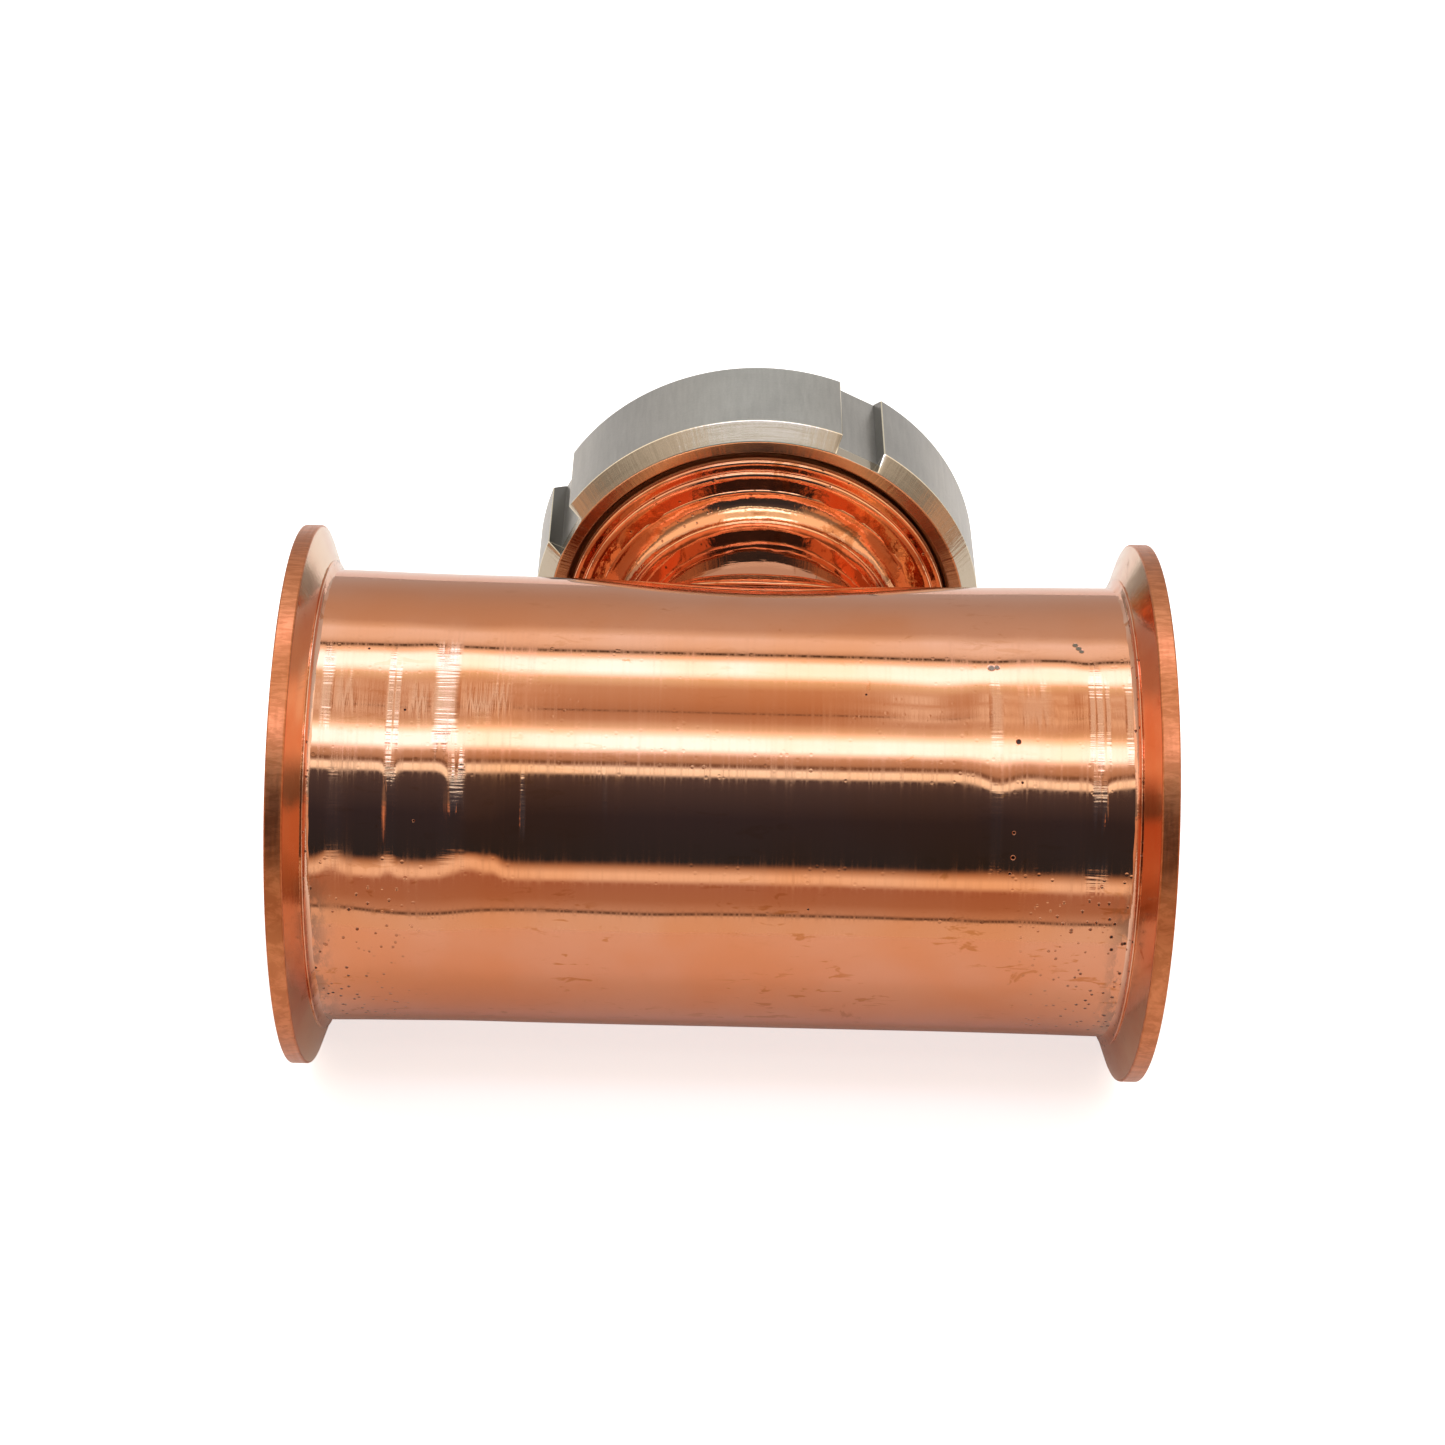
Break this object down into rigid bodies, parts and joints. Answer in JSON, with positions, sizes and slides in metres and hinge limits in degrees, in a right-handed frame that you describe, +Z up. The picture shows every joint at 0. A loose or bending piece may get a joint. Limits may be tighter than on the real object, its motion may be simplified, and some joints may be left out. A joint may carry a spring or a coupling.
{
  "type": "pipe tee with sight glass branch",
  "caption": "Polished copper pipe tee: a run tube with clamp ferrules on its ends and a short branch closed by a sight glass under a slotted stainless round nut.",
  "frame": {"origin": "middle of the bounding box in plan, at the height of the surface that the two clamp ferrules lie on", "axes": "+X along the run to the end nearer the branch, +Y along the branch towards the nut, +Z up"},
  "size_m": [0.142, 0.1244, 0.091],
  "materials": {
    "polished_copper": "polished",
    "turned_copper": "polished",
    "braze": "satin",
    "stainless": "satin",
    "sight_glass": "polished",
    "elastomer": "matte",
    "fluoroplastic": "matte"
  },
  "bodies": {
    "tee_body": {"run_tube": "polished_copper", "left_ferrule": "turned_copper", "right_ferrule": "turned_copper", "left_braze": "braze", "right_braze": "braze", "branch_neck": "polished_copper", "saddle_braze": "braze", "branch_ferrule": "turned_copper", "branch_braze": "braze", "inner_gasket": "elastomer"},
    "glass_stack": {"sight_glass": "sight_glass", "outer_gasket": "fluoroplastic"},
    "nut": {"union_nut": "stainless"}
  },
  "joints": [
    {"name": "nut_travel", "type": "slide", "parent": "tee_body", "child": "glass_stack", "axis": [0, 1, 0], "range_m": [0, 0.0106]},
    {"name": "nut_turn", "type": "hinge", "parent": "glass_stack", "child": "nut", "pos_m": [0.0062, 0.0497, 0.0455], "axis": [0, 1, 0], "range_deg": [0, 900]}
  ],
  "couplings": [
    {"joint": "nut_travel", "follows": "nut_turn", "m_per_rad": 0.00067375}
  ]
}
